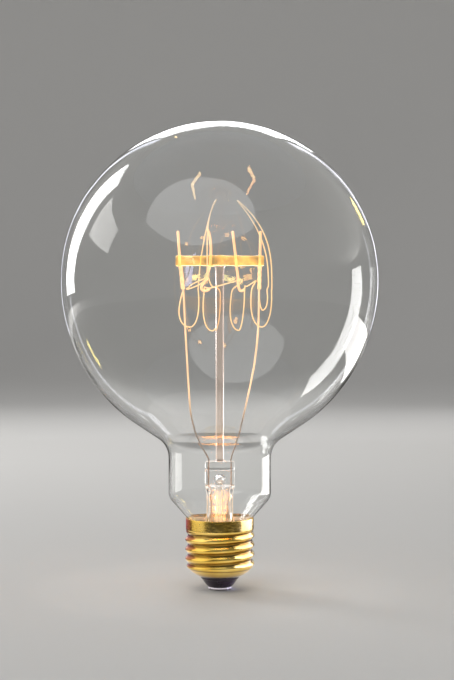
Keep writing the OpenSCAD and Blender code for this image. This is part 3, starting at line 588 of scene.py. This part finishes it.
# Support wires, clamps and leads. The wires lie in the bulb's middle plane, the clamps a little behind it.
support = {"radius": 0.5, "hookDrop": 10.7, "footShift": (1.3, -2.2, 0.9, -0.25), "colour": (0.80, 0.52, 0.30),
           "roughness": 0.32, "glow": (1.0, 0.60, 0.32), "glowEdge": (0.95, 0.30, 0.05)}
clamps = {"length": 8.4, "topShift": (0.4, 0, 0, -0.05), "halfWidth": 0.75, "halfDepth": 1.1, "back": 0.3,
          "squareness": 4, "crimps": (0.25, 0.55, 0.82), "crimpWidth": 0.045, "crimpDepth": 0.14, "flare": 0.06,
          "flareLength": 0.04, "edge": 0.25, "sides": 40, "colour": (0.85, 0.60, 0.32), "roughness": 0.3,
          "glow": (1.0, 0.64, 0.32), "glowEdge": (0.95, 0.32, 0.05)}
hook = bar["height"] - support["hookDrop"]
postFeet = postPlaces + support["footShift"]
clampTops = postPlaces + clamps["topShift"]
press = stem["top"]


def flat(pairs):
    # Points in the bulb's middle plane from (across, height) pairs.
    pairs = np.array(pairs, float)
    return np.stack([pairs[:, 0], 0 * pairs[:, 0], pairs[:, 1]], -1)


def clampPoint(k, share):
    # A place on a clamp's axis, from its foot at 0 to its top at 1.
    return np.array([postFeet[k] + (clampTops[k] - postFeet[k]) * share, hook + clamps["length"] * share])


# wires' feet, their places on the bar, the hooks' height and the bar's axis
f, p, h, b = postFeet, postPlaces, hook, bar["height"]
topBar, underBar = b + bar["radius"], b - bar["radius"]
posts = {
    "outerLeftPost": [(p[0] - 0.65, b + 11.3), (p[0] - 0.05, topBar), (p[0], underBar), clampPoint(0, 1),
                      clampPoint(0, 0.5)],
    "innerLeftPost": [(p[1] - 1.2, b + 12.2), (p[1] - 0.3, b + 9.4), (p[1] + 0.15, b + 5.6),
                      (p[1] + 0.15, topBar), (p[1] - 0.2, underBar), (p[1] - 0.95, h + 6.2), (p[1] - 1.4, h + 4),
                      (f[1] - 0.3, h + 2.6), (f[1] - 1.2, h + 0.9), (f[1] - 0.9, h - 0.3), (f[1] + 0.1, h - 0.65),
                      (f[1] + 1.2, h - 0.4), (f[1] + 2.1, h + 0.25)],
    "innerRightPost": [(p[2] - 1.3, b + 11.3), (p[2] - 0.2, topBar), (p[2] + 0.15, underBar),
                       (p[2] + 0.55, h + 6), (f[2] - 0.1, h + 2.4), (f[2] + 0.2, h + 0.2), (f[2] + 0.8, h - 0.65),
                       (f[2] + 1.7, h - 0.5), (f[2] + 2.4, h)],
    "outerRightPost": [(p[3] + 0.3, b + 11.3), (p[3] + 0.05, topBar), (p[3], underBar), clampPoint(3, 1),
                       clampPoint(3, 0.5)],
}
supportWire = finish("supportWire", support["colour"], support["roughness"], {"Metallic": 1})
glowing(supportWire, support, ranged(supportWire, grain(supportWire, 150), 0.9, 1.05))
for name, nodeName in (("outerLeftPost", "outer_left_post"), ("innerLeftPost", "inner_left_post"),
                       ("innerRightPost", "inner_right_post"), ("outerRightPost", "outer_right_post")):
    dress(wire(name, flat(posts[name]), support["radius"]), supportWire, "support_wire", nodeName)

lead = {"radius": 0.43, "footRadius": 0.24, "colour": (0.58, 0.46, 0.38), "roughness": 0.35,
        "glow": (1.0, 0.64, 0.32), "glowEdge": (0.95, 0.30, 0.05), "dimBelow": 64, "glowAbove": 74}
leads = {
    "leftLead": [clampPoint(0, 0.5), clampPoint(0, 0), (f[0] + 0.15, h - 1), (f[0] + 0.9, h - 16),
                 (-12, press + 31), (-11, press + 18), (-9, press + 10.5), (-6, press + 4.6), (-4.3, press + 1),
                 (-4.2, press), (-4.2, press - 1)],
    "rightLead": [clampPoint(3, 0.5), clampPoint(3, 0), (f[3] - 0.05, h - 1), (f[3] - 0.3, h - 14),
                  (f[3] - 1.6, h - 27), (12, press + 31), (9.3, press + 18.5), (7.4, press + 11),
                  (5.2, press + 4.6), (4.3, press + 1), (4.2, press), (4.2, press - 1)],
}
leadWire = finish("leadWire", lead["colour"], lead["roughness"], {"Metallic": 1})
# painted glow: the leads shine above one height and fade to none below it
paintedGlowShare = upward(leadWire, lead["dimBelow"], lead["glowAbove"])
glowing(leadWire, lead, both(leadWire, "MULTIPLY", paintedGlowShare, ranged(leadWire, grain(leadWire, 150), 0.9, 1.1)))
for name, nodeName in (("leftLead", "left_lead"), ("rightLead", "right_lead")):
    dress(wire(name, flat(leads[name]), lead["radius"], last=lead["footRadius"]), leadWire, "lead_wire", nodeName)

clampMetal = finish("clampMetal", clamps["colour"], clamps["roughness"], {"Metallic": 1})
relief(clampMetal, grain(clampMetal, 900, 3), 0.03)
glowing(clampMetal, clamps, ranged(clampMetal, grain(clampMetal, 300), 0.8, 1.15))
edge, share = clamps["edge"], np.linspace(0, 1, 60)
pinch = clamps["crimpDepth"] * np.exp(-((share[:, None] - clamps["crimps"]) / clamps["crimpWidth"]) ** 2).sum(-1)
flared = clamps["flare"] * (np.exp(-share / clamps["flareLength"]) + np.exp((share - 1) / clamps["flareLength"]))
clampEnds = {k: flat([clampPoint(k, 0), clampPoint(k, 1)]) for k in (0, 3)}
for k, name, nodeName in ((0, "leftClamp", "left_clamp"), (3, "rightClamp", "right_clamp")):
    foot, head = clampEnds[k] + [0, clamps["back"], 0]
    axis = unit(head - foot)
    path, scale = rounded(foot + axis * edge + (head - foot - 2 * axis * edge) * share[:, None], edge)
    pad = np.concatenate([np.full(4, flared[0] - pinch[0]), flared - pinch, np.full(4, flared[-1] - pinch[-1])])
    shrink = edge * (1 - scale)
    deep, wide = squared(around(clamps["sides"]), (clamps["halfDepth"] + pad - shrink)[:, None],
                         (clamps["halfWidth"] + pad - shrink)[:, None], clamps["squareness"])
    dress(carried(name, path, np.stack([deep, wide], -1)), clampMetal, "clamp_metal", nodeName)
print("cross-bar, supports, leads and clamps made")

# Filament: one long wire hung in low loops between the hooks and thrown up in two tall loops

def hang(a, b, drop, bowA, bowB, steps):
    # Half an ellipse from a down by the drop and up to b, its first and second arm bowed out by their widths.
    a, b, s = np.array(a), np.array(b), np.linspace(0, 1, steps + 1)
    across = (1 - np.cos(np.pi * s)) / 2
    bow = np.where(s < 0.5, bowA, bowB) * np.sin(turn * s)
    return np.stack([a[0] + (b[0] - a[0]) * across - bow, a[1] + (b[1] - a[1]) * across,
                     a[2] + (b[2] - a[2]) * s - drop * np.sin(np.pi * s)], -1)


def tallLoop(a, b, top, leanA, leanB, steps):
    # Up from a over the blunt top and down to b. Each side leans in as a power of its height.
    a, b, top, s = np.array(a), np.array(b), np.array(top), np.linspace(0, 1, steps + 1)
    across = ((1 - np.cos(np.pi * s)) / 2)[:, None]
    rise = np.clip(1 - (1 - np.sin(np.pi * s)) ** filament["bluntness"], 0, 1)
    lean = (rise ** np.where(s < 0.5, leanA, leanB))[:, None]
    mid = (a + b) / 2
    place = a + (b - a) * across + (top - mid) * lean
    place[:, 2] = a[2] + (b[2] - a[2]) * s + (top[2] - mid[2]) * rise
    return place


filament = {"radius": 0.25, "outerDrop": 14.3, "innerDrop": 15.8, "tallTop": 147.3, "halfDepth": 3.5,
            "back": 0.85, "steps": 5, "sides": 10, "colour": (0.35, 0.2, 0.1), "roughness": 0.5,
            "glow": (1.0, 0.70, 0.35), "glowEdge": (1.0, 0.38, 0.07), "pale": (1.0, 0.86, 0.62), "paleFrom": 133,
            "paleTo": 143.3, "paleStrength": 0.45, "bluntness": 1.6}
deep, top = filament["halfDepth"], filament["tallTop"]   # the loops' reach to front and back, the tall ones' top
clampAxes = [unit(head - foot) for foot, head in clampEnds.values()]
start, end = (foot + [0, filament["back"], 0] for foot, head in clampEnds.values())
route = np.vstack([
    start, start - 2 * filament["radius"] * clampAxes[0],
    hang([f[0] - 0.3, 1, h - 1.4], [f[0] + 5.7, deep, h - 0.6], filament["outerDrop"] - 0.9, 1.9, 0.6, 12),
    tallLoop([f[0] + 5.7, deep, h + 1], [p[1] - 1.2, -deep, h + 6.5], [p[1] + 1.9, 0, top], 1.5, 4.5, 16),
    [[p[1] - 2, -2.9, h + 4.2], [p[1] - 4.6, -2.4, h + 3], [p[1] - 7.4, -2.2, h + 1.5],
     [f[0] + 2.2, -2.3, h + 0.6], [f[0] + 1.4, -1.9, h + 0.2], [f[0] + 1.5, -1.1, h], [f[0] + 2.4, -0.7, h + 0.1],
     [f[1] - 2.2, -0.95, h + 1.6], [f[1] - 0.2, -1.15, h + 3.1], [f[1] + 0.7, -1.2, h + 4.4],
     [f[1] + 1.5, -1.1, h + 4.2], [f[1] + 2, -0.5, h + 2.6], [f[1] + 2.9, 1, h + 1], [f[1] + 4.6, 2.3, h + 0.3]],
    hang([f[1] + 5.9, 2.4, h - 1.2], [f[1] - 0.2, 1, h - 0.9], filament["innerDrop"] - 1, -0.3, -0.9, 12),
    [[f[1] - 0.15, 0.9, h + 0.3], [f[1] + 0.15, 0, h + 0.75], [f[1] + 0.7, -0.9, h + 0.45],
     [f[1] + 1.8, -1.2, h + 0.4], [f[1] + 3.4, -2, h + 0.7], [f[1] + 6.6, -2.1, h + 1.6], [f[2] - 3, -1.3, h + 2.5],
     [f[2] - 0.6, -1, h + 3.2], [f[2] + 0.8, -0.9, h + 3.6], [f[2] + 1.6, 0, h + 3.3], [f[2] + 0.9, 0.95, h + 2.3],
     [f[2] - 0.5, 1.1, h + 1.3]],
    hang([f[2] - 2.3, 1, h - 0.4], [f[2] + 2.3, 1, h - 0.9], filament["innerDrop"] - 0.8, 1.3, -0.1, 12),
    [[f[2] + 2.4, 0.9, h + 0.5], [f[2] + 2.6, 0.1, h + 1.1], [f[2] + 3.3, -0.7, h + 1.1], [f[3] - 2.7, -1, h + 2.3],
     [f[3] - 1.6, -0.8, h + 3], [f[3] - 1.2, 0, h + 3.1], [f[3] - 1.7, 0.6, h + 2.3]],
    hang([f[3] - 2.8, 0.5, h], [f[3] + 4.6, -deep, h - 0.6], filament["outerDrop"] - 0.3, 0.9, 0.3, 12),
    tallLoop([f[3] + 4.7, -deep, h + 1], [f[3] + 3.6, deep, h + 2], [6.8, 0, top], 3, 2.4, 18),
    hang([f[3] + 3.1, deep - 0.3, h - 0.2], [f[3] + 0.05, 1, h - 1.4], filament["outerDrop"] - 7.1, -0.4, 0, 8),
    end - 2 * filament["radius"] * clampAxes[1], end])
carbon = finish("filament", filament["colour"], filament["roughness"])
relief(carbon, grain(carbon, 2500), 0.02)
pale = upward(carbon, filament["paleFrom"], filament["paleTo"])   # whiter and dimmer toward the tall loops' tops
dimmed = ranged(carbon, pale, 1, filament["paleStrength"], 0, 1)
glow = ranged(carbon, grain(carbon, 70), 0.9, 1.25, 0.3, 0.7)
warmth = glowing(carbon, filament, both(carbon, "MULTIPLY", glow, dimmed))
# the mix node's sockets 6 and 7 are the two colours
mixed = add(carbon, "Mix", {7: (*filament["pale"], 1)}, {0: pale, 6: warmth}, data_type="RGBA")
feed(carbon, "Emission Color", mixed.outputs[2])
filamentPiece = wire("filamentLoops", route, filament["radius"], filament["steps"], filament["sides"])
dress(filamentPiece, carbon, "filament", "filament")
print("filament made:", len(filamentPiece.data.polygons), "faces")

# Cap: a rolled brass shell, its plain collar above and its thread below
cap = {"rim": 27.3, "rimRound": 0.12, "collarFoot": 22.8, "collar": 12.9, "step": 0.9, "crest": 13.1,
       "root": 12.12, "pitch": 3.63, "threadFoot": 9.9, "fade": 1.2, "draw": 8.6, "drawPower": 0.75, "lip": 5.4,
       "lipRadius": 8.4, "wall": 0.35, "sides": 176, "colour": (0.72, 0.49, 0.10), "dull": (0.58, 0.35, 0.06),
       "bright": (0.86, 0.64, 0.20), "paintedShadeStops": [  # painted shade: they darken the thread's roots and the metal near the lip
           (0.08, (0.08, 0.06, 0.05)), (0.24, (0.30, 0.27, 0.22)), (0.45, (0.62, 0.60, 0.56)),
           (0.72, (0.85, 0.85, 0.85)), (0.79, (0.7, 0.7, 0.7)), (0.82, (0.22, 0.17, 0.12)), (0.93, (1, 1, 1))]}


def shellBase(z):
    # The shell without its thread: straight, then drawn in to the lip as a power of the height.
    between = (cap["crest"] + cap["root"]) / 2
    rise = np.clip(z - cap["lip"], 0, None) / (cap["draw"] - cap["lip"])
    drawnIn = cap["lipRadius"] + (between - cap["lipRadius"]) * rise ** cap["drawPower"]
    straight = between + (cap["collar"] - between) * eased((z - cap["collarFoot"] + 0.5) / cap["step"])
    return np.where(z >= cap["draw"], straight, drawnIn)


def threadWave(z, angle):
    # A wave that climbs one pitch a turn and fades out at both ends.
    fade = eased((cap["collarFoot"] - z) / cap["fade"]) * eased((z - cap["draw"]) / (cap["threadFoot"] - cap["draw"]))
    return (cap["crest"] - cap["root"]) / 2 * np.cos(angle - turn * (z - cap["threadFoot"]) / cap["pitch"]) * fade


u, rimRound = around(cap["sides"]), cap["rimRound"]
z = np.concatenate([np.linspace(cap["rim"] - rimRound, cap["collarFoot"] + 0.6, 16),
                    np.linspace(cap["collarFoot"] + 0.5, cap["lip"] + 0.1, 140)])[:, None]
edge = np.radians(np.linspace(90, 0, 5)[:-1])[:, None]
rimR = cap["collar"] - rimRound * (1 - np.cos(edge)) + 0 * u
rimZ = cap["rim"] - rimRound + rimRound * np.sin(edge)
inside = shellBase(z) - cap["wall"] + threadWave(z, u)
# the lip's rounded edge, from the outer face round to the inner one
lipRows = np.radians(np.array([150, 115, 80, 45, 15]))[:, None] - np.pi / 2
lipR = cap["lipRadius"] - cap["wall"] / 2 + 0.12 - 0.17 * np.sin(lipRows) + 0 * u
lipZ = cap["lip"] + 0.06 - 0.06 * np.cos(lipRows)
radius = np.vstack([rimR, shellBase(z) + threadWave(z, u), lipR[::-1], inside[::-1],
                    cap["collar"] - cap["wall"] + 0 * u])
height = np.vstack([rimZ, z, lipZ[::-1], z[::-1], [[cap["rim"]]]])
shell = skin("screwShell", roundAxis(radius, height, u) * mm, loop=True, crease=50)
brass = finish("brass", cap["colour"], 0.16, {"Metallic": 1})
fresh = tints(brass, grain(brass, 90, 3), [(0.3, cap["dull"]), (0.5, cap["colour"]), (0.72, cap["bright"])])
across = add(brass, "VectorMath", {1: (1, 1, 0)}, {0: ownPlace(brass)}, operation="MULTIPLY").outputs[0]
fromAxis = add(brass, "VectorMath", links={0: across}, operation="LENGTH").outputs["Value"]
# painted shade: the colour darkens at the thread's root radius and near the lip's radius
paintedShade = tints(brass, ranged(brass, fromAxis, 0, 1, 8 * mm, cap["crest"] * mm), cap["paintedShadeStops"])
feed(brass, "Base Color", add(brass, "VectorMath", links={0: fresh, 1: paintedShade}, operation="MULTIPLY").outputs[0])
worn = ranged(brass, grain(brass, 500, 4, (1, 1, 4)), 0.09, 0.22)
feed(brass, "Roughness", both(brass, "ADD", worn, ranged(brass, upward(brass, 22.4, 23), 0, 0.08, 0, 1)))
relief(brass, grain(brass, 2200, 2, (0.25, 0.25, 3)), 0.012)
dress(shell, brass, "brass", "screw_shell")

# Insulator, contact and solder below the shell
insulator = {"tip": 4.7, "tipHeight": 1.05, "radius": 7.4, "power": 0.86, "bulge": 0.18, "bulgeAt": 0.86,
             "bulgeWidth": 0.07, "gap": 0.05, "inside": 2.6, "sides": 128, "colour": (0.028, 0.016, 0.032),
             "dark": (0.012, 0.007, 0.014), "light": (0.045, 0.026, 0.052)}
under = np.linspace(0, 1, 22)
conical = np.stack([
    insulator["tip"] + (insulator["radius"] - insulator["tip"]) * under ** insulator["power"]
    + insulator["bulge"] * np.exp(-((under - insulator["bulgeAt"]) / insulator["bulgeWidth"]) ** 2),
    insulator["tipHeight"] + 0.2 + (cap["lip"] - 0.7 - insulator["tipHeight"]) * under], -1)
within = np.linspace(cap["lip"] + 0.12, cap["lip"] + insulator["inside"], 10)
seat = np.stack([shellBase(within) - cap["wall"] - insulator["gap"], within], -1)
blackPiece = turned("insulatorCone", np.vstack([
    [[0, insulator["tipHeight"]], [insulator["tip"] - 0.5, insulator["tipHeight"]],
     [insulator["tip"] - 0.15, insulator["tipHeight"] + 0.06]],
    conical, seat, [[0, within[-1]]]]), insulator["sides"], crease=40)
black = finish("blackGlass", insulator["colour"], 0.08, {"Coat Weight": 0.4, "Coat Roughness": 0.03, "IOR": 1.5})
feed(black, "Base Color", tints(black, grain(black, 160), [(0.35, insulator["dark"]), (0.65, insulator["light"])]))
feed(black, "Roughness", ranged(black, grain(black, 600, 3), 0.05, 0.16))
relief(black, grain(black, 220), 0.08)
dress(blackPiece, black, "black_glass", "insulator")

contact = {"radius": 4.4, "low": 0.25, "high": 1.05, "hole": 0.8, "edge": 0.25, "solder": 3.4, "flat": 2.0,
           "ragged": 0.05, "sides": 96, "colour": (0.84, 0.81, 0.86), "solderColour": (0.62, 0.62, 0.64)}
a = np.radians(np.linspace(0, 90, 6))
plate = turned("contactPlate", np.vstack([
    [[contact["hole"], contact["low"]], [contact["solder"] - 0.6, contact["low"]]],
    np.stack([contact["radius"] - contact["edge"] + contact["edge"] * np.sin(a),
              contact["low"] + contact["edge"] * (1 - np.cos(a))], -1),
    [[contact["radius"], contact["high"] - 0.05], [contact["radius"] - 0.05, contact["high"]],
     [contact["hole"], contact["high"]]]]),
    contact["sides"], loop=True)
contactMetal = finish("contactMetal", contact["colour"], 0.28, {"Metallic": 1})
feed(contactMetal, "Roughness", ranged(contactMetal, grain(contactMetal, 1500, 4), 0.2, 0.42))
relief(contactMetal, grain(contactMetal, 1800, 3), 0.02)
dress(plate, contactMetal, "contact_metal", "contact_plate")

u, share = around(contact["sides"]), np.linspace(0, 1, 12)[:, None]
ragged = 1 - contact["ragged"] * share * (0.5 + 0.5 * np.sin(3 * u + 0.6) * np.cos(2 * u))
domeR = (contact["flat"] + (contact["solder"] - contact["flat"]) * share) * ragged
domeZ = contact["low"] * (1 - np.sqrt(np.clip(1 - share ** 2, 0, 1))) + 0 * u
coreR = np.full((2, 1), contact["hole"] - 0.02)
coreZ = np.array([[contact["low"] + 0.01], [contact["high"]]])
faceR = contact["flat"] * np.array([0.35, 0.8])[:, None] + 0 * u
grid = np.concatenate([roundAxis(r, z, u) for r, z in ((faceR, 0 * faceR), (domeR, domeZ), (coreR, coreZ))])
blob = skin("contactSolder", grid * mm, False, np.array([0, 0, 0.0]), np.array([0, 0, contact["high"]]) * mm)
solder = finish("solder", contact["solderColour"], 0.35, {"Metallic": 1})
feed(solder, "Roughness", ranged(solder, grain(solder, 900, 3), 0.22, 0.5))
relief(solder, grain(solder, 700, 3), 0.06)
dress(blob, solder, "solder", "contact_solder")

# Solder bead on the collar's back, over the lead that comes up through it
bead = {"height": 26.4, "radius": 1.15, "proud": 0.5, "flatter": 0.8, "foot": 0.4, "sides": 48}
u, bulge = around(bead["sides"]), np.radians(np.linspace(4, 90, 14))[:, None]
beadR = bead["radius"] * np.sin(bulge) * (1 + 0.07 * np.sin(2 * u + 1) + 0.04 * np.sin(5 * u))
beadY = cap["collar"] - 0.08 + bead["proud"] * np.cos(bulge) + 0 * u
grid = np.stack([beadR * np.cos(u), beadY, bead["height"] + bead["flatter"] * beadR * np.sin(u)], -1)
foot = np.stack([bead["foot"] * np.cos(u), cap["collar"] - cap["wall"] - 0.2 + 0 * u,
                 bead["height"] + bead["foot"] * np.sin(u)], -1)
grid = np.concatenate([grid, foot])
beadPiece = skin("shellSolder", grid * mm, False, grid[0].mean(0) * mm, grid[-1].mean(0) * mm)
dress(beadPiece, solder, "solder", "shell_solder")

# Outer leads, seal wires and cement inside the stem and the cap
outerLeads = {
    "radius": 0.25, "colour": (0.74, 0.52, 0.38),
    "shellLead": [(-4.2, 0, 39.5), (-3.6, 0, 36.5), (-3.1, 0, 30.9), (-3.1, 0, 24), (-3.1, 0.3, 19.2),
                  (-3, 4, 16.8), (-1, 9.4, 17), (0, 11.2, 18.6), (0, 11.2, 22.2), (0, 11.6, 24.4), (0, 12.1, 26),
                  (0, 12.55, 26.4), (0, 12.9, 26.4)],
    "contactLead": [(4.2, 0, 39.5), (3.6, 0, 36.5), (3.1, 0, 30.9), (3.1, 0, 24), (3.1, 0, 13), (1.8, 0, 10.4),
                    (0, 0, 8), (0, 0, 5.4), (0, 0, 0.3)],
}
copper = finish("outerLead", outerLeads["colour"], 0.35, {"Metallic": 1})
relief(copper, grain(copper, 2500), 0.01)
for name, nodeName in (("shellLead", "shell_lead_wire"), ("contactLead", "contact_lead_wire")):
    dress(wire(name, outerLeads[name], outerLeads["radius"], 5), copper, "lead_wire", nodeName)
hidden = {"seal": (0.70, 0.50, 0.40), "sealDark": (0.60, 0.40, 0.30), "sealLight": (0.80, 0.62, 0.50),
          "cement": (0.72, 0.58, 0.40), "cementDark": (0.56, 0.43, 0.28), "cementLight": (0.84, 0.72, 0.54)}
sealWire = finish("sealWire", hidden["seal"], 0.4, {"Metallic": 1})
sheath = tints(sealWire, grain(sealWire, 700), [(0.35, hidden["sealDark"]), (0.65, hidden["sealLight"])])
feed(sealWire, "Base Color", sheath)
for nodeName in ("left_seal_wire", "right_seal_wire"):
    repaint(nodeName, sealWire)
cement = finish("cement", hidden["cement"], 0.9)
baked = tints(cement, grain(cement, 600, 4), [(0.3, hidden["cementDark"]), (0.7, hidden["cementLight"])])
feed(cement, "Base Color", baked)
relief(cement, grain(cement, 900, 4), 0.12)
repaint("basing_cement", cement)
print("cap made:", len(shell.data.polygons), "faces")

capPieces = (shell, blackPiece, plate, blob, beadPiece)
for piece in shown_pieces():
    if piece is not rodPiece:   # on the rod the lamps would outshine the filament's light
        lit["bulb"].objects.link(piece)
        lit["cap" if piece in capPieces else "rest"].objects.link(piece)
lit["rest"].objects.link(floor)
for piece in (shell, plate, blob):
    lit["brass"].objects.link(piece)
lit["globe"].objects.link(envelope)
